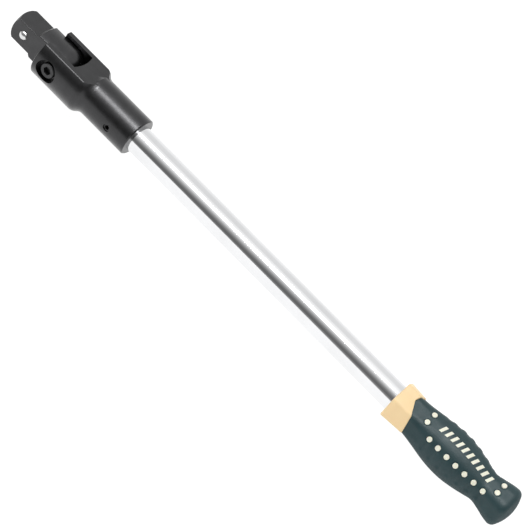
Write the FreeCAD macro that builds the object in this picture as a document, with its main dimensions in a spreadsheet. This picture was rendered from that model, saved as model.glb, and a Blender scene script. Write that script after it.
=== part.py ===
import FreeCAD, Part
import math
import os

import Sketcher
from FreeCAD import Rotation, Vector

# Breaker bar: 3/4 inch square drive on a flexing head, solid bar, two-material grip.
# X runs along the bar, from the tip of the drive at 0 to the end of the grip.
# Y is the pivot's axis, and its screw goes in from -Y. Z is normal to the fork's flats.

DIMENSIONS = {
    # square drive and tongue
    "square_side": 19.05,
    "square_corner": 0.6,
    "square_end": 21.8,
    "tip_flat_radius": 7.4,
    "tip_cut_depth": 4.0,
    "tip_cut_radius": 13.4,
    "tip_dome": 8.5,
    "tongue_width": 19.4,
    "tongue_height": 13.3,
    "tongue_side_height": 11.5,
    "tongue_ramp": 1.9,
    "tongue_edge": 0.8,
    "pivot_x": 45.3,
    # detent
    "ball_radius": 4.0,
    "ball_x": 11.6,
    "ball_depth": 7.7,
    "ball_bore_radius": 4.05,
    "ball_lip_radius": 3.8,
    "ball_lip_depth": 9.2,
    "ball_bore_end": 4.0,
    "ball_spring_radius": 2.2,
    "ball_spring_wire": 0.4,
    "ball_spring_pitch": 1.35,
    # fork
    "fork_radius": 20.4,
    "flat_height": 14.8,
    "ear_tip": 32.6,
    "shoulder_start": 71.8,
    "shoulder_middle": 76.9,
    "shoulder_end": 82.0,
    "flat_end": 73.5,
    "flat_runout": 4.5,
    "root_inner_radius": 12.0,
    "collar_radius": 16.0,
    "collar_end": 124.3,
    "collar_chamfer": 0.9,
    "slot_width": 20.4,
    "slot_corner": 59.0,
    "slot_floor_arc": 27.65,
    "ridge_round": 2.2,
    "ear_round": 0.8,
    "fork_clearance": 30.0,
    # pivot screw
    "recess_radius": 8.85,
    "recess_floor": 14.6,
    "screw_head_radius": 6.1,
    "screw_head_top": 18.0,
    "screw_head_chamfer": 0.5,
    "screw_hex": 6.0,
    "screw_hex_depth": 3.2,
    "screw_radius": 5.0,
    "screw_bore_radius": 5.05,
    "screw_end": 19.0,
    # friction plunger
    "plunger_radius": 4.0,
    "plunger_bore_radius": 4.05,
    "plunger_front": 58.65,
    "plunger_back": 70.0,
    "plunger_chamfer": 0.5,
    "friction_spring_radius": 2.8,
    "friction_spring_wire": 0.5,
    "friction_spring_pitch": 2.2,
    # bar
    "bar_radius": 11.0,
    "bar_socket_radius": 11.02,
    "bar_front": 84.0,
    "bar_step": 398.0,
    "bar_tail_radius": 8.0,
    "bar_tail_bore": 8.02,
    "bar_end": 489.0,
    "bar_chamfer": 1.0,
    "groove_x": 430.0,
    "groove_width": 4.0,
    "groove_radius": 7.2,
    "groove_span": 40.0,
    # roll pin
    "pin_x": 105.8,
    "pin_radius": 2.98,
    "pin_hole_radius": 3.0,
    "pin_bore": 1.8,
    "pin_slit": 0.9,
    "pin_half_length": 15.0,
    # grip
    "grip_front": 388.0,
    "grip_end": 500.0,
    "bolster_half_flat": 15.0,
    "bolster_round": 16.5,
    "bolster_length": 22.0,
    "bolster_chamfer": 0.8,
    "vee_apex": 9.9,
    "vee_reach": 24.4,
    "vee_half_width": 25.0,
    "core_radius": 10.3,
    "core_end": 494.0,
    "dome_radius": 31.4,
    "stud_radius": 2.0,
    "stud_root": 9.0,
    "stud_length": 12.0,
    "stud_proud": 0.4,
    "stud_row_x": 37.1,
    "stud_pitch": 8.4,
    "stud_front_x": 27.6,
    "stud_rear_x": 95.2,
}

# Stations along the grip: distance from its front, half width across the facets, round radius.
GRIP_STATIONS = (
    (9.4, 13.2, 14.6),
    (20.4, 13.9, 15.0),
    (30.4, 15.4, 16.1),
    (40.4, 17.2, 17.5),
    (50.4, 18.15, 18.3),
    (60.4, 17.9, 18.05),
    (70.4, 16.3, 16.5),
    (78.4, 14.4, 14.7),
    (85.4, 12.8, 13.2),
    (92.4, 13.7, 14.5),
    (99.4, 15.3, 16.2),
    (105.4, 16.0, 17.0),
    (112.4, 16.0, 17.0),
)
for station, (from_front, half_flat, round_radius) in enumerate(GRIP_STATIONS):
    DIMENSIONS[f"station_{station}_x"] = from_front
    DIMENSIONS[f"station_{station}_flat"] = half_flat
    DIMENSIONS[f"station_{station}_round"] = round_radius

# The tongue is crowned, above and below, from its middle down to its two sides.
crown_half_width = DIMENSIONS["tongue_width"] / 2
crown_rise = DIMENSIONS["tongue_height"] - DIMENSIONS["tongue_side_height"]
DIMENSIONS["crown_radius"] = (crown_half_width ** 2 + crown_rise ** 2) / (2 * crown_rise)

# The shoulder is two equal arcs that leave the fork and meet the collar in line with the bar.
shoulder_run = DIMENSIONS["shoulder_end"] - DIMENSIONS["shoulder_start"]
shoulder_drop = DIMENSIONS["fork_radius"] - DIMENSIONS["collar_radius"]
DIMENSIONS["shoulder_arc"] = (shoulder_run ** 2 + shoulder_drop ** 2) / (4 * shoulder_drop)

# The collar's root rises out of each flat in one arc, level with the flat where it starts.
runout = DIMENSIONS["flat_runout"]
root_rise = DIMENSIONS["collar_radius"] - DIMENSIONS["flat_height"]
DIMENSIONS["root_arc"] = (runout ** 2 + root_rise ** 2) / (2 * root_rise)

PANEL_ANGLE = 68.0          # the grip's marked facet, turned from -Y towards +Z
VEE_ANGLE = 78.5            # the vee's point, turned the same way
STUD_ROW_TURN = -37.3       # the row of studs, from the middle of the marked facet
STUD_PAIR_MIDDLE = 5.0      # the middle of each pair of studs, from the same line
STUD_PAIR_TURN = 15.0       # each stud of a pair, either side of the pair's middle
STUDS_IN_ROW = 7
GROOVES = 3

NODES = []


# Sheet, sketches and features

def make_sheet(doc):
    sheet = doc.addObject("Spreadsheet::Sheet", "dims")
    for row, (alias, size) in enumerate(DIMENSIONS.items(), start=1):
        sheet.set(f"A{row}", alias.replace("_", " "))
        sheet.set(f"B{row}", str(size))
        sheet.setAlias(f"B{row}", alias)
    doc.recompute()


def number(terms):
    """The value of a signed sum such as 'pivot_x hub_radius' or '-slot_width/2'."""
    total = 0.0
    for term in terms.split():
        alias, _, divisor = term.lstrip("-").partition("/")
        sign = -1.0 if term.startswith("-") else 1.0
        total += sign * DIMENSIONS[alias] / float(divisor or 1)
    return total


def formula(terms):
    """The same sum as an expression on the sheet."""
    text = "0"
    for term in terms.split():
        sign = "-" if term.startswith("-") else "+"
        text += f" {sign} dims.{term.lstrip('-')}"
    return text


def bind(item, prop, terms):
    item.setExpression(prop, formula(terms))


def add_node(name, item):
    item.Label = name
    NODES.append(item)
    return item


def new_body(doc, name):
    return add_node(name, doc.addObject("PartDesign::Body", name))


def new_sketch(body, name, plane, x="", z=""):
    """A sketch on one of the body's origin planes, moved along the sketch's own x or normal."""
    sketch = body.newObject("Sketcher::SketchObject", name)
    origin_plane = next(item for item in body.Origin.OriginFeatures if item.Role == plane)
    sketch.AttachmentSupport = [(origin_plane, "")]
    sketch.MapMode = "FlatFace"
    bind(sketch, "AttachmentOffset.Base.x", x)
    bind(sketch, "AttachmentOffset.Base.z", z)
    sketch.Visibility = False
    return sketch


def constrain(sketch, constraint, terms):
    index = sketch.addConstraint(constraint)
    if terms:
        sketch.setExpression(f"Constraints[{index}]", formula(terms))


def place_point(sketch, edge, point, x, y):
    """Tie a point to the sketch's origin with two signed sums of dimensions."""
    constrain(sketch, Sketcher.Constraint("DistanceX", -1, 1, edge, point, number(x)), x)
    constrain(sketch, Sketcher.Constraint("DistanceY", -1, 1, edge, point, number(y)), y)


def arc_between(start, end, radius, side):
    """A short arc from start to end that bulges to the left for side 1, or right for -1."""
    chord = end - start
    left = Vector(-chord.y, chord.x, 0).normalize() * side
    rise = radius - math.sqrt(radius ** 2 - (chord.Length / 2) ** 2)
    return Part.Arc(start, (start + end) * 0.5 + left * rise, end)


def add_outline(sketch, corners):
    """A closed outline of corners (x, y), or (x, y, radius, side) where an arc leaves."""
    places = [Vector(number(corner[0]), number(corner[1]), 0) for corner in corners]
    first = sketch.GeometryCount
    for index, corner in enumerate(corners):
        start = places[index]
        end = places[(index + 1) % len(places)]
        if len(corner) == 2:
            sketch.addGeometry(Part.LineSegment(start, end), False)
        else:
            sketch.addGeometry(arc_between(start, end, number(corner[2]), corner[3]), False)
    for index, corner in enumerate(corners):
        edge = first + index
        previous = first + (index - 1) % len(corners)
        leaving = nearest_end(sketch, edge, places[index])
        arriving = nearest_end(sketch, previous, places[index])
        sketch.addConstraint(Sketcher.Constraint("Coincident", previous, arriving, edge, leaving))
        place_point(sketch, edge, leaving, corner[0], corner[1])
        if len(corner) == 4:
            constrain(sketch, Sketcher.Constraint("Radius", edge, number(corner[2])), corner[2])


def nearest_end(sketch, edge, place):
    """1 where the edge starts at the place, 2 where it ends there."""
    start_gap = (sketch.getPoint(edge, 1) - place).Length
    end_gap = (sketch.getPoint(edge, 2) - place).Length
    return 1 if start_gap < end_gap else 2


def add_rectangle(sketch, low_x, low_y, high_x, high_y):
    add_outline(sketch, [(low_x, low_y), (high_x, low_y), (high_x, high_y), (low_x, high_y)])


def add_circle(sketch, x, y, radius):
    circle = Part.Circle(Vector(number(x), number(y), 0), Vector(0, 0, 1), number(radius))
    edge = sketch.addGeometry(circle, False)
    place_point(sketch, edge, 3, x, y)
    constrain(sketch, Sketcher.Constraint("Radius", edge, number(radius)), radius)


def turn(body, name, sketch, kind="Revolution", axis="H_Axis"):
    """Revolve a sketch about its own axis, to add material or, as a groove, to cut it."""
    before = body.Shape.Volume if body.Tip else 0.0
    feature = body.newObject(f"PartDesign::{kind}", name)
    feature.Profile = sketch
    feature.ReferenceAxis = (sketch, [axis])
    feature.Angle = 360.0
    body.Document.recompute()
    check_change(name, body.Shape.Volume - before, adds=kind == "Revolution")
    return feature


def pocket(body, name, sketch, reverse=False, symmetric=True):
    """Cut a sketch through the whole body."""
    before = body.Shape.Volume
    feature = body.newObject("PartDesign::Pocket", name)
    feature.Profile = sketch
    feature.Type = "ThroughAll"
    feature.Midplane = symmetric
    feature.Reversed = reverse
    body.Document.recompute()
    check_change(name, body.Shape.Volume - before, adds=False)
    return feature


def check_change(name, change, adds):
    if (change if adds else -change) < 1e-3:
        raise RuntimeError(f"{name} changed nothing")


def dress(body, name, kind, size, test):
    """Fillet or chamfer those edges of the body whose box passes the test."""
    base = body.Tip
    picked = [
        f"Edge{index}"
        for index, edge in enumerate(base.Shape.Edges, start=1)
        if test(edge.BoundBox)
    ]
    feature = body.newObject(f"PartDesign::{kind}", name)
    feature.Base = (base, picked)
    bind(feature, "Radius" if kind == "Fillet" else "Size", size)
    body.Document.recompute()
    return feature


def rim_at(x):
    """A test for circular edges round X at one station."""
    return lambda box: box.XLength < 0.01 and abs(box.XMin - number(x)) < 0.01


def primitive(doc, kind, name, **sizes):
    item = doc.addObject(f"Part::{kind}", name)
    for prop, terms in sizes.items():
        bind(item, prop, terms)
    return item


def boolean(doc, kind, name, shapes):
    item = doc.addObject(f"Part::{kind}", name)
    if kind == "Cut":
        item.Base, item.Tool = shapes
    else:
        item.Shapes = shapes
    return item


def along(item, axis, x="", y="", z=""):
    """Point a primitive's own Z along an axis, and tie its base point to the sheet."""
    item.Placement.Rotation = Rotation(Vector(0, 0, 1), axis)
    bind(item, "Placement.Base.x", x)
    bind(item, "Placement.Base.y", y)
    bind(item, "Placement.Base.z", z)
    return item


# Drive head

def make_drive_tang(doc):
    """Square drive and crowned, round-ended tongue, forged in one piece."""
    body = new_body(doc, "drive_tang")
    square = new_sketch(body, "square_outline", "YZ_Plane")
    half = "square_side/2"
    add_rectangle(square, "-" + half, "-" + half, half, half)
    pad = body.newObject("PartDesign::Pad", "square_pad")
    pad.Profile = square
    bind(pad, "Length", "pivot_x")
    doc.recompute()
    dress(body, "square_corners", "Fillet", "square_corner", lambda box: box.XLength > 1)

    tip = new_sketch(body, "tip_outline", "XY_Plane")
    add_outline(tip, [
        ("", "tip_flat_radius", "tip_dome", 1),
        ("tip_cut_depth", "tip_cut_radius"),
        ("tip_cut_depth", "fork_radius"),
        ("-square_corner", "fork_radius"),
        ("-square_corner", "tip_flat_radius"),
    ])
    turn(body, "turned_tip", tip, "Groove")

    side = "tongue_width/2"
    crest = "tongue_side_height"
    bar_section = new_sketch(body, "tongue_section", "YZ_Plane", z="square_end")
    add_outline(bar_section, [
        ("-" + side, "-" + crest, "crown_radius", -1),
        (side, "-" + crest),
        (side, crest, "crown_radius", -1),
        ("-" + side, crest),
    ])
    tongue = body.newObject("PartDesign::Pad", "tongue")
    tongue.Profile = bar_section
    bind(tongue, "Length", "pivot_x -square_end")
    doc.recompute()
    dress(body, "tongue_ramps", "Chamfer", "tongue_ramp",
          lambda box: rim_at("square_end")(box) and box.YLength > number("square_side"))
    knuckle = new_sketch(body, "knuckle_outline", "XY_Plane", x="pivot_x")
    add_outline(knuckle, [
        ("", "-" + side),
        (crest, "-" + side, "crown_radius", -1),
        (crest, side),
        ("", side),
    ])
    turn(body, "knuckle", knuckle, axis="V_Axis")
    dress(body, "tongue_edges", "Fillet", "tongue_edge", is_tongue_edge)

    seat = new_sketch(body, "ball_seat_outline", "XY_Plane", x="ball_x")
    add_outline(seat, [
        ("", "-fork_radius"),
        ("ball_lip_radius", "-fork_radius"),
        ("ball_lip_radius", "-ball_lip_depth"),
        ("ball_bore_radius", "-ball_lip_depth"),
        ("ball_bore_radius", "ball_bore_end"),
        ("", "ball_bore_end"),
    ])
    turn(body, "ball_seat", seat, "Groove", "V_Axis")

    bore = new_sketch(body, "pivot_bore_outline", "XZ_Plane")
    add_circle(bore, "pivot_x", "", "screw_bore_radius")
    pocket(body, "pivot_bore", bore)


def is_tongue_edge(box):
    """The long edges between the tongue's crowns and its two sides."""
    on_side = box.YLength < 0.01 and abs(abs(box.YMin) - number("tongue_width/2")) < 0.01
    return on_side and box.XLength > number("tongue_height/2")


def make_detent_ball(doc):
    ball = primitive(doc, "Sphere", "detent_ball", Radius="ball_radius")
    add_node("detent_ball", along(ball, Vector(0, 0, 1), x="ball_x", y="-ball_depth"))


def make_spring(doc, name, radius, wire, pitch, height, axis, place):
    """A round-wire compression spring that stands on its place along its axis."""
    helix = primitive(doc, "Helix", name + "_path", Radius=radius, Pitch=pitch, Height=height)
    section = primitive(doc, "Circle", name + "_wire", Radius=wire)
    section.Placement.Rotation = Rotation(Vector(0, 0, 1), Vector(0, 1, 0))
    bind(section, "Placement.Base.x", radius)
    sweep = doc.addObject("Part::Sweep", name)
    sweep.Sections = [section]
    sweep.Spine = (helix, ["Edge1"])
    sweep.Solid = True
    sweep.Frenet = True
    doc.recompute()
    along(sweep, axis, **place)
    add_node(name, sweep)


# Fork

def make_fork_head(doc):
    """Forked yoke and collar: a turned forging with milled flats and slot."""
    body = new_body(doc, "fork_head")
    profile = new_sketch(body, "fork_outline", "XY_Plane")
    add_outline(profile, [
        ("ear_tip", ""),
        ("ear_tip", "fork_radius"),
        ("collar_end", "fork_radius"),
        ("collar_end", "bar_socket_radius"),
        ("bar_front", "bar_socket_radius"),
        ("bar_front", "plunger_bore_radius"),
        ("pivot_x", "plunger_bore_radius"),
        ("pivot_x", ""),
    ])
    turn(body, "turned_blank", profile)

    flats = new_sketch(body, "flats_outline", "XZ_Plane")
    add_rectangle(flats, "", "flat_height", "collar_end fork_clearance", "fork_clearance")
    add_rectangle(flats, "", "-fork_clearance", "collar_end fork_clearance", "-flat_height")
    pocket(body, "milled_flats", flats)
    dress(body, "ridges", "Fillet", "ridge_round",
          lambda box: box.XLength > 80 and box.ZMax ** 2 > 200)

    shoulder = new_sketch(body, "shoulder_outline", "XY_Plane")
    add_outline(shoulder, [
        ("shoulder_start", "fork_radius", "shoulder_arc", 1),
        ("shoulder_middle", "fork_radius/2 collar_radius/2", "shoulder_arc", -1),
        ("shoulder_end", "collar_radius"),
        ("collar_end -collar_chamfer", "collar_radius"),
        ("collar_end", "collar_radius -collar_chamfer"),
        ("collar_end collar_chamfer", "collar_radius -collar_chamfer"),
        ("collar_end collar_chamfer", "fork_clearance"),
        ("shoulder_start", "fork_clearance"),
    ])
    turn(body, "shoulder_and_collar", shoulder, "Groove")
    root = new_sketch(body, "collar_root_outline", "XY_Plane")
    add_outline(root, [
        ("flat_end", "flat_height", "root_arc", -1),
        ("flat_end flat_runout", "collar_radius"),
        ("collar_end -collar_chamfer", "collar_radius"),
        ("collar_end", "collar_radius -collar_chamfer"),
        ("collar_end", "root_inner_radius"),
        ("flat_end", "root_inner_radius"),
    ])
    turn(body, "collar_root", root)
    dress(body, "ear_rims", "Fillet", "ear_round", rim_at("ear_tip"))

    slot = new_sketch(body, "slot_outline", "XY_Plane")
    half = "slot_width/2"
    add_outline(slot, [
        ("", "-" + half),
        ("slot_corner", "-" + half, "slot_floor_arc", -1),
        ("slot_corner", half),
        ("", half),
    ])
    pocket(body, "slot", slot)

    bore = new_sketch(body, "ear_bore_outline", "XZ_Plane")
    add_circle(bore, "pivot_x", "", "screw_bore_radius")
    pocket(body, "ear_bores", bore)
    recess = new_sketch(body, "recess_outline", "XZ_Plane", z="recess_floor")
    add_circle(recess, "pivot_x", "", "recess_radius")
    pocket(body, "screw_recess", recess, reverse=True, symmetric=False)
    pin_hole = new_sketch(body, "pin_hole_outline", "XZ_Plane")
    add_circle(pin_hole, "pin_x", "", "pin_hole_radius")
    pocket(body, "pin_hole", pin_hole)


def make_pivot_screw(doc):
    """Socket-head screw: head in the near ear's recess, shank through to the far ear."""
    inward = Vector(0, 1, 0)
    head = primitive(doc, "Cylinder", "screw_head", Radius="screw_head_radius",
                     Height="screw_head_top -recess_floor")
    along(head, inward, x="pivot_x", y="-screw_head_top")
    shank = primitive(doc, "Cylinder", "screw_shank", Radius="screw_radius",
                      Height="recess_floor screw_end")
    along(shank, inward, x="pivot_x", y="-recess_floor")
    blank = boolean(doc, "MultiFuse", "screw_blank", [head, shank])
    socket = doc.addObject("Part::Prism", "screw_socket")
    socket.Polygon = 6
    socket.setExpression("Circumradius", "dims.screw_hex / 2 / cos(30)")
    bind(socket, "Height", "screw_hex_depth")
    along(socket, inward, x="pivot_x", y="-screw_head_top")
    drilled = boolean(doc, "Cut", "screw_drilled", [blank, socket])
    doc.recompute()
    rims = [
        (index, DIMENSIONS["screw_head_chamfer"], DIMENSIONS["screw_head_chamfer"])
        for index, edge in enumerate(drilled.Shape.Edges, start=1)
        if is_screw_rim(edge)
    ]
    finished = doc.addObject("Part::Chamfer", "pivot_screw")
    finished.Base = drilled
    finished.Edges = rims
    add_node("pivot_screw", finished)


def is_screw_rim(edge):
    """The round rims at the head's top and at the shank's end."""
    box = edge.BoundBox
    on_top = abs(box.YMin + number("screw_head_top")) < 0.01
    on_end = abs(box.YMin - number("screw_end")) < 0.01
    return box.YLength < 0.01 and box.XLength > 8 and (on_top or on_end)


def make_friction_plunger(doc):
    """The pin in the slot's floor that presses on the round end of the tongue."""
    body = new_body(doc, "friction_plunger")
    profile = new_sketch(body, "plunger_outline", "XY_Plane")
    add_rectangle(profile, "plunger_front", "", "plunger_back", "plunger_radius")
    turn(body, "turned_plunger", profile)
    dress(body, "plunger_rims", "Chamfer", "plunger_chamfer",
          lambda box: rim_at("plunger_front")(box) or rim_at("plunger_back")(box))


# Bar

def make_shank_bar(doc):
    """Solid round bar, stepped down inside the grip and grooved to hold the moulding."""
    body = new_body(doc, "shank_bar")
    profile = new_sketch(body, "bar_outline", "XY_Plane")
    add_outline(profile, [
        ("bar_front", ""),
        ("bar_front", "bar_radius"),
        ("bar_step", "bar_radius"),
        ("bar_step", "bar_tail_radius"),
        ("bar_end", "bar_tail_radius"),
        ("bar_end", ""),
    ])
    turn(body, "turned_bar", profile)
    dress(body, "bar_ends", "Chamfer", "bar_chamfer",
          lambda box: rim_at("bar_front")(box) or rim_at("bar_end")(box))
    hole = new_sketch(body, "bar_pin_hole_outline", "XZ_Plane")
    add_circle(hole, "pin_x", "", "pin_hole_radius")
    pocket(body, "bar_pin_hole", hole)
    notch = new_sketch(body, "groove_outline", "XY_Plane")
    add_rectangle(notch, "groove_x", "groove_radius", "groove_x groove_width", "bar_radius")
    groove = turn(body, "groove", notch, "Groove")
    pattern = body.newObject("PartDesign::LinearPattern", "grooves")
    pattern.Originals = [groove]
    pattern.Direction = (notch, ["H_Axis"])
    bind(pattern, "Length", "groove_span")
    pattern.Occurrences = GROOVES
    body.Tip = pattern


def make_roll_pin(doc):
    """Slotted spring pin through the collar and the bar."""
    across = Vector(0, 1, 0)
    shapes = []
    for name, radius in (("pin_outside", "pin_radius"), ("pin_inside", "pin_bore")):
        rod = primitive(doc, "Cylinder", name, Radius=radius,
                        Height="pin_half_length pin_half_length")
        shapes.append(along(rod, across, x="pin_x", y="-pin_half_length"))
    tube = boolean(doc, "Cut", "pin_tube", shapes)
    slit = primitive(doc, "Box", "pin_slit_block", Length="pin_slit", Height="pin_radius",
                     Width="pin_half_length pin_half_length")
    along(slit, Vector(0, 0, 1), x="pin_x -pin_slit/2", y="-pin_half_length")
    add_node("collar_roll_pin", boolean(doc, "Cut", "collar_roll_pin", [tube, slit]))


# Grip

def panel_frame(turned=0.0):
    """Rotation whose Z is the bar's axis and whose X points out of the grip's marked facet."""
    angle = math.radians(PANEL_ANGLE + turned)
    outward = Vector(0, -math.cos(angle), math.sin(angle))
    bar_axis = Vector(1, 0, 0)
    return Rotation(outward, bar_axis.cross(outward), bar_axis, "XZY")


def across_grip(doc, kind, name, x, turned=0.0):
    """A section or prism that stands square to the bar at a station of the grip."""
    item = doc.addObject(f"Part::{kind}", name)
    item.Placement.Rotation = panel_frame(turned)
    bind(item, "Placement.Base.x", x)
    return item


def make_envelope(doc, name, proud=""):
    """Outside of the overmould: a faceted loft and a round loft in common, and a domed end."""
    facets = []
    rounds = []
    extra = f" + dims.{proud}" if proud else ""
    for index in range(len(GRIP_STATIONS)):
        x = f"grip_front station_{index}_x"
        facet = across_grip(doc, "RegularPolygon", f"{name}_facets_{index}", x, turned=30.0)
        facet.Polygon = 6
        facet.setExpression("Circumradius", f"(dims.station_{index}_flat{extra}) / cos(30)")
        facets.append(facet)
        circle = across_grip(doc, "Circle", f"{name}_round_{index}", x)
        circle.setExpression("Radius", f"dims.station_{index}_round{extra}")
        rounds.append(circle)
    lofts = []
    for suffix, sections in (("facet_loft", facets), ("round_loft", rounds)):
        loft = doc.addObject("Part::Loft", f"{name}_{suffix}")
        loft.Sections = sections
        loft.Solid = True
        loft.Ruled = False
        lofts.append(loft)
    dome = primitive(doc, "Sphere", name + "_dome", Radius="dome_radius")
    along(dome, Vector(0, 0, 1), x="grip_end -dome_radius")
    drum = primitive(doc, "Cylinder", name + "_drum", Radius="dome_radius",
                     Height="grip_end -dome_radius -grip_front")
    along(drum, Vector(1, 0, 0), x="grip_front")
    rounded = boolean(doc, "MultiFuse", name + "_rounded", [dome, drum])
    return boolean(doc, "MultiCommon", name, [*lofts, rounded])


def make_vee_block(doc, name):
    """The front of the grip, back to the vee along which the two materials meet."""
    outline = doc.addObject("Sketcher::SketchObject", name + "_outline")
    angle = math.radians(VEE_ANGLE)
    outward = Vector(0, -math.cos(angle), math.sin(angle))
    bar_axis = Vector(1, 0, 0)
    sideways = outward.cross(bar_axis)
    outline.Placement.Rotation = Rotation(bar_axis, sideways, outward, "XZY")
    bind(outline, "Placement.Base.x", "grip_front")
    add_outline(outline, [
        ("-bolster_chamfer", "-vee_half_width"),
        ("vee_reach", "-vee_half_width"),
        ("vee_apex", ""),
        ("vee_reach", "vee_half_width"),
        ("-bolster_chamfer", "vee_half_width"),
    ])
    block = doc.addObject("Part::Extrusion", name)
    block.Base = outline
    block.DirMode = "Normal"
    bind(block, "LengthFwd", "vee_half_width")
    bind(block, "LengthRev", "vee_half_width")
    block.Solid = True
    return block


def make_bolster(doc):
    """Hexagonal front of the core, with rounded corners and a chamfered front."""
    prism = across_grip(doc, "Prism", "bolster_prism", "grip_front", turned=30.0)
    prism.Polygon = 6
    prism.setExpression("Circumradius", "dims.bolster_half_flat / cos(30)")
    bind(prism, "Height", "bolster_length")
    drum = primitive(doc, "Cylinder", "bolster_drum", Radius="bolster_round",
                     Height="bolster_length")
    along(drum, Vector(1, 0, 0), x="grip_front")
    cone = primitive(doc, "Cone", "bolster_front_cone", Radius1="bolster_half_flat",
                     Radius2="bolster_half_flat bolster_length", Height="bolster_length")
    along(cone, Vector(1, 0, 0), x="grip_front")
    vee = make_vee_block(doc, "bolster_vee")
    return boolean(doc, "MultiCommon", "bolster", [prism, drum, cone, vee])


def stud_places():
    """Station and turn of every stud: a row beside each marked facet and two pairs on it."""
    places = []
    for side in (0.0, 180.0):
        for step in range(STUDS_IN_ROW):
            station = "grip_front stud_row_x" + " stud_pitch" * step
            places.append((station, side + STUD_ROW_TURN))
        for station in ("grip_front stud_front_x", "grip_front stud_rear_x"):
            middle = side + STUD_PAIR_MIDDLE
            places += [(station, middle - STUD_PAIR_TURN), (station, middle + STUD_PAIR_TURN)]
    return places


def make_studs(doc):
    """Round studs of the core, which reach just through the overmould."""
    rods = []
    for index, (station, turned) in enumerate(stud_places()):
        angle = math.radians(PANEL_ANGLE + turned)
        outward = Vector(0, -math.cos(angle), math.sin(angle))
        rod = primitive(doc, "Cylinder", f"stud_{index}", Radius="stud_radius",
                        Height="stud_length")
        rod.Placement.Rotation = Rotation(Vector(0, 0, 1), outward)
        bind(rod, "Placement.Base.x", station)
        rod.setExpression("Placement.Base.y", f"dims.stud_root * {outward.y}")
        rod.setExpression("Placement.Base.z", f"dims.stud_root * {outward.z}")
        rods.append(rod)
    rods = boolean(doc, "MultiFuse", "stud_rods", rods)
    limit = make_envelope(doc, "stud_limit", "stud_proud")
    return boolean(doc, "MultiCommon", "studs", [rods, limit])


def make_grip(doc):
    """Hard core with its bolster and studs, and the soft overmould round it."""
    tube = primitive(doc, "Cylinder", "core_tube", Radius="core_radius",
                     Height="core_end -grip_front")
    along(tube, Vector(1, 0, 0), x="grip_front")
    blank = boolean(doc, "MultiFuse", "core_blank", [tube, make_bolster(doc), make_studs(doc)])
    front_bore = primitive(doc, "Cylinder", "core_front_bore", Radius="bar_socket_radius",
                           Height="bar_step -grip_front")
    along(front_bore, Vector(1, 0, 0), x="grip_front")
    tail_bore = primitive(doc, "Cylinder", "core_tail_bore", Radius="bar_tail_bore",
                          Height="bar_end -grip_front")
    along(tail_bore, Vector(1, 0, 0), x="grip_front")
    bores = boolean(doc, "MultiFuse", "core_bores", [front_bore, tail_bore])
    add_node("grip_core", boolean(doc, "Cut", "grip_core", [blank, bores]))

    envelope = make_envelope(doc, "sleeve_envelope")
    vee = make_vee_block(doc, "sleeve_vee")
    hollow = boolean(doc, "MultiFuse", "sleeve_hollow", [vee, blank])
    add_node("grip_sleeve", boolean(doc, "Cut", "grip_sleeve", [envelope, hollow]))


# Check and export

def check(doc):
    for item in doc.Objects:
        if "Invalid" in item.State or "Error" in item.State:
            raise RuntimeError(f"{item.Name} failed: {item.State}")
    for item in NODES:
        if item.Shape.isNull() or not item.Shape.isValid():
            raise RuntimeError(f"{item.Label} is not a valid solid")


def main():
    doc = FreeCAD.newDocument("breaker_bar")
    make_sheet(doc)
    make_drive_tang(doc)
    make_detent_ball(doc)
    make_spring(doc, "detent_spring", "ball_spring_radius", "ball_spring_wire",
                "ball_spring_pitch", "ball_bore_end ball_depth -ball_radius -ball_spring_pitch/2",
                Vector(0, -1, 0), {"x": "ball_x", "y": "ball_bore_end -ball_spring_wire"})
    make_fork_head(doc)
    make_pivot_screw(doc)
    make_friction_plunger(doc)
    make_spring(doc, "friction_spring", "friction_spring_radius", "friction_spring_wire",
                "friction_spring_pitch", "bar_front -plunger_back -friction_spring_pitch/2",
                Vector(1, 0, 0), {"x": "plunger_back friction_spring_wire"})
    make_shank_bar(doc)
    make_roll_pin(doc)
    make_grip(doc)
    doc.recompute()
    check(doc)
    os.makedirs("parts", exist_ok=True)
    for item in NODES:
        item.Shape.exportStep(f"parts/{item.Label}.step")
        print(item.Label, len(item.Shape.Solids), round(item.Shape.Volume, 1))


main()
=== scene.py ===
import math

import bpy
from mathutils import Matrix, Vector


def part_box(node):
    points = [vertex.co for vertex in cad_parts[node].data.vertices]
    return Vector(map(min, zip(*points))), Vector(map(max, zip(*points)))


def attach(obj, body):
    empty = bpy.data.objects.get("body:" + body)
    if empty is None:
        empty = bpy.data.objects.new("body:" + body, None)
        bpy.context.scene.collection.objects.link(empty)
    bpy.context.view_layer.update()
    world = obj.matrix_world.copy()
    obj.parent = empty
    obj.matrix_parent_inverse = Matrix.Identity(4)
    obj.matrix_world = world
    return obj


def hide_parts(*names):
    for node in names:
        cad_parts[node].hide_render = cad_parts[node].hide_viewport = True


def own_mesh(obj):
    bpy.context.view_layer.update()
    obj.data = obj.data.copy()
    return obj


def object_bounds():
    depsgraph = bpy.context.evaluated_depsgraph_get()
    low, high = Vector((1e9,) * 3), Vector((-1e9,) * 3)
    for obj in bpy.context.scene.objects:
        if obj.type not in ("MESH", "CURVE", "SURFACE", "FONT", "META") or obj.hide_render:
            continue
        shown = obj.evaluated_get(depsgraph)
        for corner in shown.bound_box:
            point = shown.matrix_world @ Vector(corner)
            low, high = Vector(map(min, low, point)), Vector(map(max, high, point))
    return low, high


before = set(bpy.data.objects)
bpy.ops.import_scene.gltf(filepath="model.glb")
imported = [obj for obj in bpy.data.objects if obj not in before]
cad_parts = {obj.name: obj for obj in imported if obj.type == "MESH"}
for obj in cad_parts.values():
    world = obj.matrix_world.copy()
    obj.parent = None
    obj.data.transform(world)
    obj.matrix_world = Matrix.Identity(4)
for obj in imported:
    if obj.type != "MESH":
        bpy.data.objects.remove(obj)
cad_low, cad_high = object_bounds()

MM = 0.001


# Sizes that the frame gives

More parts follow.
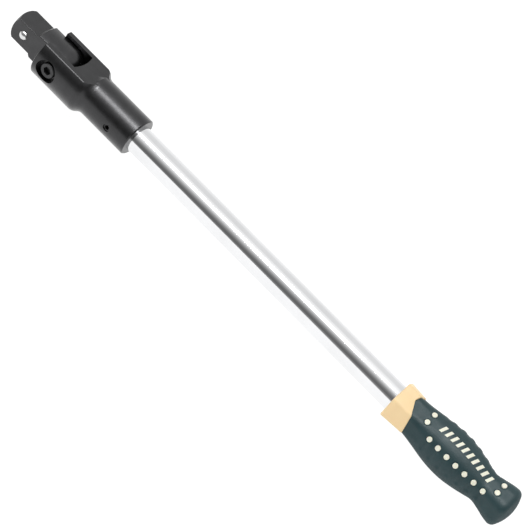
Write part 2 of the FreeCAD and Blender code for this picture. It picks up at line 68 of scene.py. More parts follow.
GRIP_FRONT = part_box("grip_core")[0].x
GRIP_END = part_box("grip_sleeve")[1].x
BAR_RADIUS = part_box("shank_bar")[1].z
screw_low, screw_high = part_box("pivot_screw")
DRIVE_REACH = (screw_low.x + screw_high.x) / 2 - cad_low.x      # from the screw to the tip

# Grip. Stations: distance from its front, half width across the facets, radius at a corner.
GRIP_STATIONS = (
    (9.4, 13.1, 14.5),
    (20.4, 13.8, 14.9),
    (30.4, 15.3, 16.0),
    (40.4, 17.1, 17.4),
    (50.4, 18.05, 18.2),
    (60.4, 17.8, 17.95),
    (70.4, 16.2, 16.4),
    (78.4, 14.3, 14.6),
    (85.4, 12.7, 13.1),
    (92.4, 13.6, 14.4),
    (99.4, 15.2, 16.1),
    (105.4, 15.9, 16.9),
    (112.4, 15.9, 16.9),
)
PANEL_ANGLE = math.radians(68.0)        # the marked facet, turned from -Y towards +Z
VEE_TURN = math.radians(12.0)           # the vee's point, from the marked facet's middle
VEE_APEX = 10.9 * MM
VEE_SLOPE_OVER = 0.24                   # how far the vee runs back, per distance across
VEE_SLOPE_UNDER = 0.57
DOME_RADIUS = 31.4 * MM
DOME_EDGE = 5.0 * MM
BOLSTER_FLAT = 15.0 * MM
BOLSTER_CORNER = 2.2 * MM
BOLSTER_CHAMFER = 0.8 * MM
BOLSTER_TAPER = 0.055                   # half width lost per length, at the vee
BOLSTER_BEVEL = 0.3 * MM
BOLSTER_REAR_WALL = 2.0 * MM
SLEEVE_GAP = 0.12 * MM
SLEEVE_EDGE = 0.35 * MM
SLEEVE_ROUND = 0.1 * MM
SLEEVE_FRONT_WALL = 1.6 * MM

STUD_RADIUS = 2.0 * MM
STUD_PROUD = 0.3 * MM
STUD_DEPTH = 1.2 * MM                   # how far a stud goes below the grip's surface
STUD_PITCH = 8.4 * MM
STUD_ROW = 37.1 * MM
STUD_FRONT = 27.6 * MM
STUD_REAR = 95.2 * MM
STUD_ROW_TURN = math.radians(-37.3)     # from the marked facet's middle
STUD_PAIR_MIDDLE = math.radians(5.0)
STUD_PAIR_TURN = math.radians(15.0)     # either side of the pair's middle
STUDS_IN_ROW = 7
MOAT_DEPTH = 0.6 * MM
MOAT_WIDTH = 0.75 * MM
MOAT_GAP = 0.1 * MM                     # from the stud to the ring's deepest line
MOAT_REACH = 0.3                        # the widest turn, in radians, at which a ring is felt

RIB_DEPTH = 0.95 * MM
RIB_TURN = math.radians(60.0)
RIB_SPREAD = math.radians(21.0)
RIB_FULL = 0.45                         # share of the spread over which the ribs are full
RIB_SHARPNESS = 1.6

MARK_START = 36.6 * MM
MARK_END = 87.8 * MM
MARK_TURN = math.radians(4.5)           # from the marked facet's middle
MARK_COUNT = 10
MARK_HALF_HEIGHT = 2.9 * MM
MARK_SLANT = 1.9 * MM
MARK_FILL = 0.48
MARK_PROUD = 0.14 * MM
MARK_DEPTH = 0.3 * MM                   # how far a mark goes below the grip's surface
MARK_TOP_WIDTH = 0.94                   # share of its width and height that its flat top keeps
MARK_TOP_HEIGHT = 0.97

BALL_SPRING_WIRE = 0.4 * MM
BALL_SPRING_TURNS = 5.2
PLUNGER_SPRING_WIRE = 0.5 * MM
PLUNGER_SPRING_TURNS = 5.9
COIL_STEPS = 32
WIRE_SIDES = 12

AROUND_SLEEVE = 200
ALONG_SLEEVE = 190
DOME_EDGE_RINGS = 9
DOME_RINGS = 16
AROUND_BOLSTER = 240
AROUND_STUD = 28
MARK_ROWS = 9
MARK_COLUMNS = 5


# Mesh helpers

def new_piece(name, verts, faces, material, sharp_angle=35.0):
    """A smooth-shaded mesh object, with its edges sharper than an angle kept crisp."""
    mesh = bpy.data.meshes.new(name)
    mesh.from_pydata([tuple(vert) for vert in verts], [], faces)
    mesh.validate()
    mesh.polygons.foreach_set("use_smooth", [True] * len(mesh.polygons))
    mesh.set_sharp_from_angle(angle=math.radians(sharp_angle))
    mesh.update()
    piece = bpy.data.objects.new(name, mesh)
    bpy.context.scene.collection.objects.link(piece)
    mesh.materials.append(material)
    return piece


def bridge(rings, closed=True):
    """Quads between rings of equal length, given as lists of vertex indices."""
    faces = []
    for lower, upper in zip(rings, rings[1:]):
        count = len(lower)
        for index in range(count if closed else count - 1):
            after = (index + 1) % count
            faces.append((lower[index], lower[after], upper[after], upper[index]))
    return faces


def even_steps(count):
    """Evenly spaced numbers from 0 to 1."""
    return [index / (count - 1) for index in range(count)]


def hermite(points, x, column):
    """Smooth value of a column of a station table at x, by cubic pieces."""
    x = min(max(x, points[0][0]), points[-1][0])
    place = next(i for i in range(len(points) - 1) if x <= points[i + 1][0])

    def slope(index):
        before = points[max(index - 1, 0)]
        after = points[min(index + 1, len(points) - 1)]
        return (after[column] - before[column]) / (after[0] - before[0])

    low, high = points[place], points[place + 1]
    span = high[0] - low[0]
    u = (x - low[0]) / span
    return (
        (2 * u ** 3 - 3 * u ** 2 + 1) * low[column]
        + (u ** 3 - 2 * u ** 2 + u) * span * slope(place)
        + (3 * u ** 2 - 2 * u ** 3) * high[column]
        + (u ** 3 - u ** 2) * span * slope(place + 1)
    )


def smoothstep(low, high, value):
    """0 below low, 1 above high, with a smooth rise between them."""
    u = min(max((value - low) / (high - low), 0.0), 1.0)
    return u * u * (3 - 2 * u)


# Grip surface

def hexagon_radius(half_flat, corner, angle):
    """Radius of a hexagon with rounded corners, at an angle from the middle of a facet."""
    sixth = math.radians(60.0)
    local = abs((angle + sixth / 2) % sixth - sixth / 2)
    corner = min(corner, half_flat)
    centre = (half_flat - corner) / math.cos(sixth / 2)
    tangent = math.atan((half_flat - corner) / half_flat * math.tan(sixth / 2))
    if local <= tangent:
        return half_flat / math.cos(local)
    away = sixth / 2 - local
    return centre * math.cos(away) + math.sqrt(corner ** 2 - (centre * math.sin(away)) ** 2)


def grip_radius(x, angle):
    """Plain outer radius of the overmould. x is from the grip's front, angle from the panel."""
    half_flat = hermite(GRIP_STATIONS, x / MM, 1) * MM
    at_corner = hermite(GRIP_STATIONS, x / MM, 2) * MM
    stretch = 1 / math.cos(math.radians(30.0))
    corner = (stretch * half_flat - at_corner) / (stretch - 1)
    return hexagon_radius(half_flat, corner, angle)


def stud_places():
    """Station and angle from the first panel of each stud on the grip."""
    row = [STUD_ROW + step * STUD_PITCH for step in range(STUDS_IN_ROW)]
    places = []
    for side in (0.0, math.pi):
        places += [(x, side + STUD_ROW_TURN) for x in row]
        for turn in (STUD_PAIR_MIDDLE - STUD_PAIR_TURN, STUD_PAIR_MIDDLE + STUD_PAIR_TURN):
            places += [(x, side + turn) for x in (STUD_FRONT, STUD_REAR)]
    return places


STUDS = stud_places()


def rib_depth(x, angle):
    """Depth of the finger ribs: valleys level with the studs, on the facets beside one panel."""
    from_panel = abs((angle + math.pi) % (2 * math.pi) - math.pi)
    away = abs(from_panel - RIB_TURN)
    fade = 1 - smoothstep(RIB_FULL * RIB_SPREAD, RIB_SPREAD, away)
    first = STUD_ROW - STUD_PITCH / 2
    last = STUD_ROW + (STUDS_IN_ROW - 0.5) * STUD_PITCH
    ends = smoothstep(first - STUD_PITCH / 2, first + STUD_PITCH / 2, x)
    ends *= 1 - smoothstep(last - STUD_PITCH / 2, last + STUD_PITCH / 2, x)
    phase = (x - STUD_ROW) / STUD_PITCH
    valley = (0.5 + 0.5 * math.cos(2 * math.pi * phase)) ** RIB_SHARPNESS
    return RIB_DEPTH * fade * ends * valley


def moat_depth(x, angle, radius):
    """Depth of the narrow ring that is pressed into the overmould round each stud."""
    deepest = 0.0
    for stud_x, stud_angle in STUDS:
        along = x - stud_x
        if abs(along) > 2 * STUD_RADIUS:
            continue
        turn = (angle - stud_angle + math.pi) % (2 * math.pi) - math.pi
        if abs(turn) > MOAT_REACH:
            continue
        from_edge = abs(math.hypot(along, turn * radius) - STUD_RADIUS - MOAT_GAP)
        deepest = max(deepest, MOAT_DEPTH * (1 - smoothstep(0, MOAT_WIDTH, from_edge)))
    return deepest


def sleeve_radius(x, angle):
    """Radius of the overmould with its ribs and the rings round the studs."""
    radius = grip_radius(x, angle)
    return radius - rib_depth(x, angle) - moat_depth(x, angle, radius)


def grip_point(x, angle, radius):
    """A point of the grip in the frame. Angle is from the middle of the marked facet."""
    turned = PANEL_ANGLE + angle
    return Vector((GRIP_FRONT + x, -radius * math.cos(turned), radius * math.sin(turned)))


def vee_station(angle, radius):
    """Station of the vee at an angle. Each side runs back from its point at a slope of its own."""
    across = radius * math.sin(angle - VEE_TURN)
    slope = VEE_SLOPE_OVER if across > 0 else VEE_SLOPE_UNDER
    return VEE_APEX + slope * abs(across)


# Materials

NOISE_LOW = 0.3
NOISE_HIGH = 0.7


def new_material(name):
    """A node material, its tree and its shader."""
    material = bpy.data.materials.new(name)
    material.use_nodes = True
    tree = material.node_tree
    shader = next(node for node in tree.nodes if node.type == "BSDF_PRINCIPLED")
    return material, tree, shader


def object_coordinates(tree, scale=(1.0, 1.0, 1.0)):
    """Texture coordinates of the object itself, stretched by a scale."""
    coordinates = tree.nodes.new("ShaderNodeTexCoord")
    mapping = tree.nodes.new("ShaderNodeMapping")
    mapping.inputs["Scale"].default_value = scale
    tree.links.new(coordinates.outputs["Object"], mapping.inputs["Vector"])
    return mapping.outputs["Vector"]


def noise(tree, vector, scale, detail=4.0, roughness=0.55):
    """Soft noise of a given scale at a vector."""
    texture = tree.nodes.new("ShaderNodeTexNoise")
    texture.inputs["Scale"].default_value = scale
    texture.inputs["Detail"].default_value = detail
    texture.inputs["Roughness"].default_value = roughness
    tree.links.new(vector, texture.inputs["Vector"])
    return texture.outputs["Fac"]


def remap(tree, value, from_low, from_high, to_low, to_high):
    """A value stretched from one range to another."""
    node = tree.nodes.new("ShaderNodeMapRange")
    node.inputs["From Min"].default_value = from_low
    node.inputs["From Max"].default_value = from_high
    node.inputs["To Min"].default_value = to_low
    node.inputs["To Max"].default_value = to_high
    tree.links.new(value, node.inputs["Value"])
    return node.outputs["Result"]


def spread(tree, value, to_low, to_high):
    """The middle part of a noise, stretched to a range."""
    return remap(tree, value, NOISE_LOW, NOISE_HIGH, to_low, to_high)


def blend_colours(tree, factor, first, second):
    """A mix of two colours by a factor."""
    node = tree.nodes.new("ShaderNodeMix")
    node.data_type = "RGBA"
    node.inputs["A"].default_value = (*first, 1.0)
    node.inputs["B"].default_value = (*second, 1.0)
    tree.links.new(factor, node.inputs["Factor"])
    return node.outputs["Result"]


def add_bump(tree, shader, height, strength, distance):
    """Fine relief on a shader, from a height."""
    node = tree.nodes.new("ShaderNodeBump")
    node.inputs["Strength"].default_value = strength
    node.inputs["Distance"].default_value = distance
    tree.links.new(height, node.inputs["Height"])
    tree.links.new(node.outputs["Normal"], shader.inputs["Normal"])


def phosphate_steel(name, dark, light):
    """Forged steel with an oiled satin finish: mottled tone, fine blasted grain, a thin oil film."""
    material, tree, shader = new_material(name)
    place = object_coordinates(tree)
    mottle = noise(tree, place, 130.0, 6.0, 0.6)
    tone = spread(tree, mottle, 0.0, 1.0)
    tree.links.new(blend_colours(tree, tone, dark, light), shader.inputs["Base Color"])
    shader.inputs["Metallic"].default_value = 1.0
    shader.inputs["Coat Weight"].default_value = 0.6
    shader.inputs["Coat Roughness"].default_value = 0.3
    rough = spread(tree, noise(tree, place, 420.0, 3.0), 0.28, 0.38)
    tree.links.new(rough, shader.inputs["Roughness"])
    grain = noise(tree, place, 2600.0, 4.0, 0.65)
    add_bump(tree, shader, grain, 0.35, 0.00008)
    return material


def polished_chrome(name, tone=(0.84, 0.845, 0.855), roughness=0.07):
    """Polished chrome plate with faint lengthwise polishing lines and cloudiness."""
    material, tree, shader = new_material(name)
    lines = noise(tree, object_coordinates(tree, (18.0, 900.0, 900.0)), 2.2, 5.0, 0.6)
    haze = noise(tree, object_coordinates(tree), 35.0, 3.0)
    shade = spread(tree, haze, 0.0, 1.0)
    darker = tuple(part * 0.94 for part in tone)
    tree.links.new(blend_colours(tree, shade, darker, tone), shader.inputs["Base Color"])
    shader.inputs["Metallic"].default_value = 1.0
    rough = spread(tree, lines, roughness * 0.7, roughness * 1.5)
    tree.links.new(rough, shader.inputs["Roughness"])
    add_bump(tree, shader, lines, 0.02, 0.00002)
    return material


def bright_steel(name, tone, roughness):
    """Ground or blackened steel for the small parts, with a fine turned texture."""
    material, tree, shader = new_material(name)
    place = object_coordinates(tree)
    tint = spread(tree, noise(tree, place, 600.0, 4.0), 0.0, 1.0)
    darker = tuple(part * 0.75 for part in tone)
    tree.links.new(blend_colours(tree, tint, darker, tone), shader.inputs["Base Color"])
    shader.inputs["Metallic"].default_value = 0.95
    rough = spread(tree, noise(tree, place, 900.0, 3.0), roughness * 0.8, roughness * 1.2)
    tree.links.new(rough, shader.inputs["Roughness"])
    add_bump(tree, shader, noise(tree, place, 3200.0, 3.0), 0.12, 0.00004)
    return material


def cream_plastic(name, dark, light):
    """Hard moulded plastic with a low, slightly pitted sheen."""
    material, tree, shader = new_material(name)
    place = object_coordinates(tree)
    tone = spread(tree, noise(tree, place, 60.0, 5.0), 0.0, 1.0)
    colour = blend_colours(tree, tone, dark, light)
    tree.links.new(colour, shader.inputs["Base Color"])
    shader.inputs["Specular IOR Level"].default_value = 0.45
    shader.inputs["Subsurface Weight"].default_value = 0.08
    shader.inputs["Subsurface Radius"].default_value = (0.002, 0.0012, 0.0006)
    shader.inputs["Subsurface Scale"].default_value = 1.0
    rough = spread(tree, noise(tree, place, 300.0, 3.0), 0.4, 0.52)
    tree.links.new(rough, shader.inputs["Roughness"])
    add_bump(tree, shader, noise(tree, place, 1900.0, 3.0), 0.15, 0.00005)
    return material


def stippled_rubber(name):
    """Soft dark green overmould: a fine stipple, cloudy marks and a gloss that fades edge-on."""
    material, tree, shader = new_material(name)
    place = object_coordinates(tree)
    clouds = remap(tree, noise(tree, place, 75.0, 6.0, 0.6), 0.3, 0.72, 0.0, 1.0)
    colour = blend_colours(tree, clouds, (0.0085, 0.0330, 0.0380), (0.0150, 0.0460, 0.0520))
    tree.links.new(colour, shader.inputs["Base Color"])
    facing = tree.nodes.new("ShaderNodeLayerWeight")
    facing.inputs["Blend"].default_value = 0.5
    gloss = remap(tree, facing.outputs["Facing"], 0.3, 0.75, 0.4, 0.08)
    tree.links.new(gloss, shader.inputs["Specular IOR Level"])
    shader.inputs["Sheen Weight"].default_value = 0.03
    shader.inputs["Sheen Roughness"].default_value = 0.5
    rough = spread(tree, noise(tree, place, 220.0, 3.0), 0.43, 0.55)
    tree.links.new(rough, shader.inputs["Roughness"])
    stipple = tree.nodes.new("ShaderNodeTexVoronoi")
    stipple.inputs["Scale"].default_value = 1500.0
    tree.links.new(place, stipple.inputs["Vector"])
    add_bump(tree, shader, stipple.outputs["Distance"], 0.5, 0.00014)
    return material


def pale_floor(name):
    """A near-white floor with a faint cloudiness, lit a little from within."""
    material, tree, shader = new_material(name)
    place = object_coordinates(tree)
    tone = spread(tree, noise(tree, place, 3.0, 3.0), 0.0, 1.0)
    colour = blend_colours(tree, tone, (0.23, 0.23, 0.23), (0.25, 0.25, 0.25))
    tree.links.new(colour, shader.inputs["Base Color"])
    shader.inputs["Roughness"].default_value = 0.9
    shader.inputs["Specular IOR Level"].default_value = 0.1
    shader.inputs["Emission Color"].default_value = (1.0, 1.0, 1.0, 1.0)
    shader.inputs["Emission Strength"].default_value = 0.88
    return material


DARK_STEEL = phosphate_steel("dark_steel", (0.028, 0.028, 0.0295), (0.039, 0.039, 0.041))
DRIVE_STEEL = phosphate_steel("drive_steel", (0.031, 0.031, 0.0325), (0.042, 0.042, 0.044))
CHROME_BAR = polished_chrome("chrome_bar")
POLISHED_BALL = polished_chrome("polished_steel", (0.72, 0.72, 0.72), 0.22)
SCREW_STEEL = bright_steel("screw_steel", (0.072, 0.072, 0.074), 0.36)
SPRING_STEEL = bright_steel("spring_steel", (0.4, 0.4, 0.41), 0.3)
CREAM = cream_plastic("cream_plastic", (0.90, 0.67, 0.37), (0.95, 0.71, 0.40))
PALE_CREAM = cream_plastic("stud_cream", (0.80, 0.79, 0.65), (0.86, 0.85, 0.71))
GREEN = stippled_rubber("green_rubber")

NODE_MATERIALS = {
    "fork_head": DARK_STEEL,
    "drive_tang": DRIVE_STEEL,
    "shank_bar": CHROME_BAR,
    "detent_ball": POLISHED_BALL,
    "pivot_screw": SCREW_STEEL,
    # The roll pin takes the dark screw steel: partly its own blackened finish, partly painted shade
    # that stands in for the dark of its hole.
    "collar_roll_pin": SCREW_STEEL,
    "friction_plunger": SPRING_STEEL,
}


def dress_nodes():
    """Give every CAD piece that is not replaced its material."""
    for name, material in NODE_MATERIALS.items():
        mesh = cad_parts[name].data
        if not mesh.materials:
            mesh.materials.append(material)
        for index in range(len(mesh.materials)):
            mesh.materials[index] = material


# Grip pieces

def ring_angles(count):
    """Evenly spaced angles round a circle."""
    return [2 * math.pi * index / count for index in range(count)]


def make_sleeve():
    """Overmould: from the vee's rim, over the ribbed body, to the domed end."""
    angles = ring_angles(AROUND_SLEEVE)
    length = GRIP_END - GRIP_FRONT
    rim = sleeve_rim_station(length)
    verts = []
    rings = []

    def add_ring(points):
        start = len(verts)
        verts.extend(points)
        rings.append(list(range(start, start + len(points))))

    edges = [sleeve_front(angle) for angle in angles]
    for inset, back in ((SLEEVE_FRONT_WALL, 0.0), (SLEEVE_EDGE, 0.0), (SLEEVE_ROUND, SLEEVE_ROUND)):
        add_ring([
            grip_point(edge + back, angle, sleeve_radius(edge + back, angle) - inset)
            for edge, angle in zip(edges, angles)
        ])
    for step in even_steps(ALONG_SLEEVE):
        ring = []
        for edge, angle in zip(edges, angles):
            start = edge + SLEEVE_EDGE
            x = start + (rim - start) * step
            ring.append(grip_point(x, angle, sleeve_radius(x, angle)))
        add_ring(ring)
    for x, shrink in dome_profile(length, rim):
        add_ring([grip_point(x, angle, grip_radius(rim, angle) * shrink) for angle in angles])
    faces = bridge(rings)
    tip = len(verts)
    verts.append(grip_point(length, 0.0, 0.0))
    last = rings[-1]
    faces += [(one, after, tip) for one, after in zip(last, last[1:] + last[:1])]
    return new_piece("grip_overmould", verts, faces, GREEN, sharp_angle=60.0)


def sleeve_front(angle):
    """Station of the overmould's front rim, a hair behind the core's vee."""
    radius = grip_radius(VEE_APEX, angle)
    for _ in range(3):
        radius = grip_radius(vee_station(angle, radius), angle)
    return vee_station(angle, radius) + SLEEVE_GAP


def sleeve_rim_station(length):
    """Where the side ends and the rounding into the dome begins."""
    widest = hermite(GRIP_STATIONS, GRIP_STATIONS[-1][0], 2) * MM
    inner = widest - DOME_EDGE
    centre = length - DOME_RADIUS
    return centre + math.sqrt((DOME_RADIUS - DOME_EDGE) ** 2 - inner ** 2)


def dome_profile(length, rim):
    """Rings of the end: a small round from the side, then the dome, as (station, scale)."""
    widest = hermite(GRIP_STATIONS, GRIP_STATIONS[-1][0], 2) * MM
    inner = widest - DOME_EDGE
    dome_centre = length - DOME_RADIUS
    meet = math.atan2(inner, rim - dome_centre)
    profile = []
    for step in even_steps(DOME_EDGE_RINGS)[1:]:
        angle = math.pi / 2 + (meet - math.pi / 2) * step
        x = rim + DOME_EDGE * math.cos(angle)
        profile.append((x, (inner + DOME_EDGE * math.sin(angle)) / widest))
    for step in even_steps(DOME_RINGS)[1:-1]:
        angle = meet * (1 - step)
        x = dome_centre + DOME_RADIUS * math.cos(angle)
        profile.append((x, DOME_RADIUS * math.sin(angle) / widest))
    return profile


def make_core():
    """Hexagonal bolster: chamfered front round the bar, flat facets and a vee-shaped rear."""
    angles = ring_angles(AROUND_BOLSTER)
    chamfer = BOLSTER_CHAMFER
    bevel = BOLSTER_BEVEL
    hole = BAR_RADIUS + 0.02 * MM

    def outer(angle, inset=0.0):
        return hexagon_radius(BOLSTER_FLAT - inset, BOLSTER_CORNER, angle)

    def rear(angle, inset=0.0):
        station = vee_station(angle, outer(angle))
        return hexagon_radius(BOLSTER_FLAT - BOLSTER_TAPER * station - inset, BOLSTER_CORNER, angle)

    rings_of = [
        lambda angle: (2.5 * MM, hole),
        lambda angle: (0.5 * MM, hole),
        lambda angle: (0.0, BAR_RADIUS + 0.5 * MM),
        lambda angle: (0.0, outer(angle, chamfer)),
        lambda angle: (0.24 * chamfer, outer(angle, 0.42 * chamfer)),
        lambda angle: (chamfer, outer(angle)),
        lambda angle: (vee_station(angle, rear(angle)) - bevel, rear(angle)),
        lambda angle: (vee_station(angle, rear(angle)) - 0.3 * bevel, rear(angle, 0.3 * bevel)),
        lambda angle: (vee_station(angle, rear(angle)), rear(angle, bevel)),
        lambda angle: (vee_station(angle, rear(angle)), rear(angle, BOLSTER_REAR_WALL)),
    ]
    verts = []
    rings = []
    for place in rings_of:
        start = len(verts)
        for angle in angles:
            x, radius = place(angle)
            verts.append(grip_point(x, angle, radius))
        rings.append(list(range(start, len(verts))))
    return new_piece("grip_bolster", verts, bridge(rings), CREAM, sharp_angle=32.0)


def surface_frame(x, angle):
    """A point on the plain grip, with its outward normal and its lengthwise and round tangents."""
    step = 0.2 * MM
    turn = step / grip_radius(x, angle)
    point = grip_point(x, angle, grip_radius(x, angle))
    along = grip_point(x + step, angle, grip_radius(x + step, angle)) - point
    around = grip_point(x, angle + turn, grip_radius(x, angle + turn)) - point
    normal = along.cross(around).normalized()
    outward = grip_point(x, angle, 1.0) - grip_point(x, angle, 0.0)
    if normal.dot(outward) < 0:
        normal.negate()
    along.normalize()
    return point, normal, along, normal.cross(along)


def make_studs():
    """Low round-edged buttons of the core that show through the overmould."""
    profile = (
        (1.0, -STUD_DEPTH),
        (1.0, 0.45 * STUD_PROUD),
        (0.95, 0.75 * STUD_PROUD),
        (0.84, 0.93 * STUD_PROUD),
        (0.5, STUD_PROUD),
    )
    verts = []
    faces = []
    for x, angle in STUDS:
        point, normal, along, sideways = surface_frame(x, angle)
        point = point - normal * rib_depth(x, angle)
        rings = []
        for width, height in profile:
            start = len(verts)
            for turn in ring_angles(AROUND_STUD):
                spoke = along * math.cos(turn) + sideways * math.sin(turn)
                verts.append(point + spoke * STUD_RADIUS * width + normal * height)
            rings.append(list(range(start, len(verts))))
        faces += bridge(rings)
        faces.append(tuple(rings[-1]))
    return new_piece("grip_studs", verts, faces, PALE_CREAM, sharp_angle=50.0)


def make_marks():
    """A plain row of slanted bars along each marked facet, inlaid flush with a soft edge."""
    pitch = (MARK_END - MARK_START) / MARK_COUNT
    half_width = pitch * MARK_FILL / 2
    verts = []
    faces = []
    for side in (MARK_TURN, math.pi + MARK_TURN):
        for index in range(MARK_COUNT):
            middle = MARK_START + (index + 0.5) * pitch
            add_mark(verts, faces, middle, side, half_width)
    return new_piece("grip_marks", verts, faces, PALE_CREAM, sharp_angle=50.0)


def mark_border():
    """The edge of a mark's grid, in order, as (column, row) places from -1 to 1."""
    columns = [-1 + 2 * step for step in even_steps(MARK_COLUMNS)]
    rows = [-1 + 2 * step for step in even_steps(MARK_ROWS)]
    places = [(u, -1.0) for u in columns]
    places += [(1.0, v) for v in rows[1:]]
    places += [(u, 1.0) for u in reversed(columns[:-1])]
    places += [(-1.0, v) for v in reversed(rows[1:-1])]
    return places


def add_mark(verts, faces, middle, side, half_width):
    """One slanted bar: a grid laid on the grip, with a skirt that goes below its surface."""
    def lay(u, v, height):
        lateral = v * MARK_HALF_HEIGHT
        x = middle + u * half_width + v * MARK_SLANT / 2
        angle = side + math.asin(lateral / grip_radius(x, side))
        return grip_point(x, angle, grip_radius(x, angle) + height)

    grid = []
    for down in even_steps(MARK_ROWS):
        line = []
        for across in even_steps(MARK_COLUMNS):
            u = (2 * across - 1) * MARK_TOP_WIDTH
            v = (2 * down - 1) * MARK_TOP_HEIGHT
            line.append(len(verts))
            verts.append(lay(u, v, MARK_PROUD))
        grid.append(line)
    faces += bridge(grid, closed=False)
    border = list(grid[0])
    border += [line[-1] for line in grid[1:]]
    border += list(reversed(grid[-1][:-1]))
    border += [line[0] for line in reversed(grid[1:-1])]
    rings = [border]
    for height in (0.55 * MARK_PROUD, -MARK_DEPTH):
        start = len(verts)
        verts.extend(lay(u, v, height) for u, v in mark_border())
        rings.append(list(range(start, len(verts))))
    faces += bridge(rings)


# Springs

def make_coil(name, node, axis, wire, turns):
    """A round-wire coil that fills the box of a CAD spring, with its axis along X (0) or Y (1)."""
    low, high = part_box(node)
    along = Vector((0.0, 0.0, 0.0))
    along[axis] = 1.0
    side = Vector((0.0, 0.0, 1.0))
    other = along.cross(side)
    start = (low + high) / 2
    start[axis] = low[axis] + wire
    rise = high[axis] - low[axis] - 2 * wire
    coil_radius = (high.z - low.z) / 2 - wire
    steps = round(turns * COIL_STEPS)
    verts = []
    rings = []
    for step in range(steps + 1):
        turn = 2 * math.pi * turns * step / steps
        spoke = side * math.cos(turn) + other * math.sin(turn)
        middle = start + along * (rise * step / steps) + spoke * coil_radius
        rings.append(list(range(len(verts), len(verts) + WIRE_SIDES)))
        for angle in ring_angles(WIRE_SIDES):
            verts.append(middle + (spoke * math.cos(angle) - along * math.sin(angle)) * wire)
    faces = bridge(rings)
    faces.append(tuple(reversed(rings[0])))
    faces.append(tuple(rings[-1]))
    return new_piece(name, verts, faces, SPRING_STEEL, sharp_angle=60.0)


def finish_coil(coil, node, body):
    """Put a coil on a body in place of its node's CAD spring, which is hidden."""
    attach(coil, body)
    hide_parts(node)
    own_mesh(coil)


# Studio

WORLD_STRENGTH = 6.3
END_WALL_STRENGTH = 1.6
END_WALL_SPAN = (0.75, 0.98)            # how much a direction points along X, from side to end
WORLD_TWIST = math.radians(-8.0)
TWIST_SPAN = (-0.27, -0.07)             # the same measure, where the walls' twist sets in
# Brightness of the studio wall at each angle round the object, in degrees up from -Y.
WALL_LEVELS = (
    (-180, 0.17), (-60, 0.2), (-28, 0.2), (-11, 0.11), (-2, 0.042), (12, 0.022), (24, 0.03),
    (36, 0.055), (46, 0.09), (56, 0.14), (68, 0.17), (80, 0.185), (95, 0.165),
    (112, 0.135), (138, 0.138), (158, 0.16), (180, 0.17),
)
# Softboxes: name, centre, length, width, radiance, and whether it is for reflections alone.
SOFTBOXES = (
    ("strip_softbox", (-0.72, -0.47, 1.93), 1.75, 0.53, 6.8, True),
    ("short_softbox", (0.0, -0.46, 1.88), 0.22, 0.6, 32.0, True),
    ("far_softbox", (0.85, -0.46, 1.88), 0.5, 0.6, 7.5, True),
    ("fill_softbox", (0.25, -1.2, 2.2), 3.0, 1.2, 2.4, False),
)
FLOOR_HALF = 4.0
FLOOR_GAP = 1.5 * MM

# The camera looks at the bar's middle, tipped along it and turned up from -Y towards +Z, and
# rolled so that the bar runs corner to corner.
TILT = math.radians(9.5)
LIFT = math.radians(43.0)
SENSOR = 36.0
LENS = 135.3383                         # for that sensor, in millimetres
DISTANCE = 1.4169
AIM_X = 0.25656
AIM_DROP = 0.7085 * MM
ROLL = 0.0033


def make_floor():
    """A wide pale floor, low enough for the drive to swing straight down above it."""
    centre = (cad_low + cad_high) / 2
    height = centre.z - DRIVE_REACH - FLOOR_GAP
    corners = ((-1, -1), (1, -1), (1, 1), (-1, 1))
    verts = [(centre.x + x * FLOOR_HALF, centre.y + y * FLOOR_HALF, height) for x, y in corners]
    floor = new_piece("studio_floor", verts, [(0, 1, 2, 3)], pale_floor("studio_floor"))


def end_wall_strength(tree, along):
    """World strength: full at the sides, falling away towards both ends of the object."""
    size = tree.nodes.new("ShaderNodeMath")
    size.operation = "ABSOLUTE"
    tree.links.new(along, size.inputs[0])
    return remap(tree, size.outputs[0], *END_WALL_SPAN, WORLD_STRENGTH, END_WALL_STRENGTH)


def wall_angle(tree, parts):
    """Angle of a direction round the object, twisted a little towards one end."""
    flipped = tree.nodes.new("ShaderNodeMath")
    flipped.operation = "MULTIPLY"
    flipped.inputs[1].default_value = -1.0
    tree.links.new(parts.outputs["Y"], flipped.inputs[0])
    turn = tree.nodes.new("ShaderNodeMath")
    turn.operation = "ARCTAN2"
    tree.links.new(parts.outputs["Z"], turn.inputs[0])
    tree.links.new(flipped.outputs[0], turn.inputs[1])
    twisted = tree.nodes.new("ShaderNodeMath")
    twisted.operation = "ADD"
    twist = remap(tree, parts.outputs["X"], *TWIST_SPAN, 0.0, WORLD_TWIST)
    tree.links.new(twist, twisted.inputs[0])
    tree.links.new(turn.outputs[0], twisted.inputs[1])
    return twisted.outputs[0]


def wall_colour(tree, angle):
    """Grey of the studio wall at an angle."""
    share = remap(tree, angle, -math.pi, math.pi, 0.0, 1.0)
    ramp = tree.nodes.new("ShaderNodeValToRGB")
    ramp.color_ramp.interpolation = "EASE"
    elements = ramp.color_ramp.elements
    while len(elements) < len(WALL_LEVELS):
        elements.new(0.5)
    for element, (degrees, level) in zip(elements, WALL_LEVELS):
        element.position = (degrees + 180) / 360
        element.color = (level, level, level, 1.0)
    tree.links.new(share, ramp.inputs["Fac"])
    return ramp.outputs["Color"]


def make_world():
    """An even white studio with a grey far wall and a narrow dark gap below the lens."""
    world = bpy.data.worlds.new("studio")
    bpy.context.scene.world = world
    world.use_nodes = True
    tree = world.node_tree
    background = next(node for node in tree.nodes if node.type == "BACKGROUND")
    coordinates = tree.nodes.new("ShaderNodeTexCoord")
    parts = tree.nodes.new("ShaderNodeSeparateXYZ")
    tree.links.new(coordinates.outputs["Generated"], parts.inputs["Vector"])
    colour = wall_colour(tree, wall_angle(tree, parts))
    tree.links.new(colour, background.inputs["Color"])
    strength = end_wall_strength(tree, parts.outputs["X"])
    tree.links.new(strength, background.inputs["Strength"])


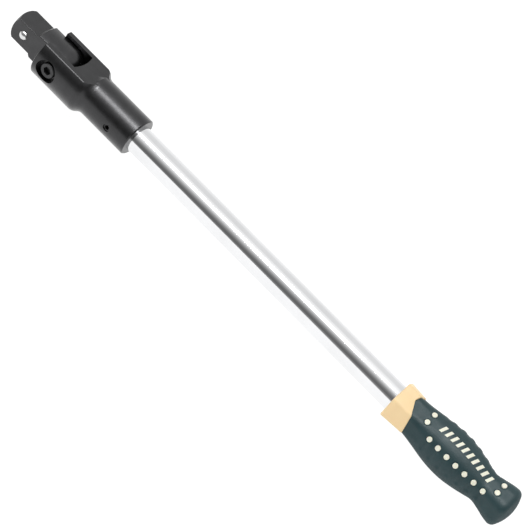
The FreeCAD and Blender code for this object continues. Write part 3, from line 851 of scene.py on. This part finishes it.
def add_softbox(name, centre, length, width, radiance, for_reflections):
    """A softbox along X that faces the object: for its reflections alone, or its soft light alone."""
    data = bpy.data.lights.new(name, "AREA")
    data.shape = "RECTANGLE"
    data.size = length
    data.size_y = width
    data.energy = radiance * math.pi * length * width
    lamp = bpy.data.objects.new(name, data)
    bpy.context.scene.collection.objects.link(lamp)
    towards = (Vector(centre) - Vector((centre[0], 0.0, 0.0))).normalized()
    sideways = Vector((1.0, 0.0, 0.0))
    turned = Matrix((sideways, towards.cross(sideways), towards)).transposed().to_4x4()
    lamp.matrix_world = Matrix.Translation(centre) @ turned
    lamp.visible_diffuse = not for_reflections
    lamp.visible_glossy = for_reflections


def make_camera():
    """A long lens on the bar's middle."""
    level = Vector((0.0, -math.cos(LIFT), math.sin(LIFT)))
    towards = Vector((math.sin(TILT), 0.0, 0.0)) + level * math.cos(TILT)
    down_bar = Vector((math.cos(TILT), 0.0, 0.0)) - level * math.sin(TILT)
    across = Vector((0.0, math.sin(LIFT), math.cos(LIFT)))
    along_view = down_bar + across * ROLL
    across_view = across - down_bar * ROLL
    right = (along_view + across_view).normalized()
    up = (across_view - along_view).normalized()
    place = Vector((AIM_X, 0.0, 0.0)) + across * AIM_DROP + towards * DISTANCE
    data = bpy.data.cameras.new("camera")
    data.sensor_width = SENSOR
    data.lens = LENS
    data.clip_start = 0.01
    camera = bpy.data.objects.new("camera", data)
    bpy.context.scene.collection.objects.link(camera)
    turned = Matrix((right, up, towards)).transposed().to_4x4()
    camera.matrix_world = Matrix.Translation(place) @ turned
    bpy.context.scene.camera = camera


make_camera()
make_world()
make_floor()
for softbox in SOFTBOXES:
    add_softbox(*softbox)
bpy.context.scene.view_settings.view_transform = "Standard"

dress_nodes()
sleeve = make_sleeve()
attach(sleeve, "bar")
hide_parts("grip_sleeve")
bolster = make_core()
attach(bolster, "bar")
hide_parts("grip_core")
for piece in (make_studs(), make_marks()):
    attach(piece, "bar")
ball_coil = make_coil("detent_coil", "detent_spring", 1, BALL_SPRING_WIRE, BALL_SPRING_TURNS)
finish_coil(ball_coil, "detent_spring", "drive_head")
plunger_coil = make_coil(
    "friction_coil", "friction_spring", 0, PLUNGER_SPRING_WIRE, PLUNGER_SPRING_TURNS)
finish_coil(plunger_coil, "friction_spring", "bar")
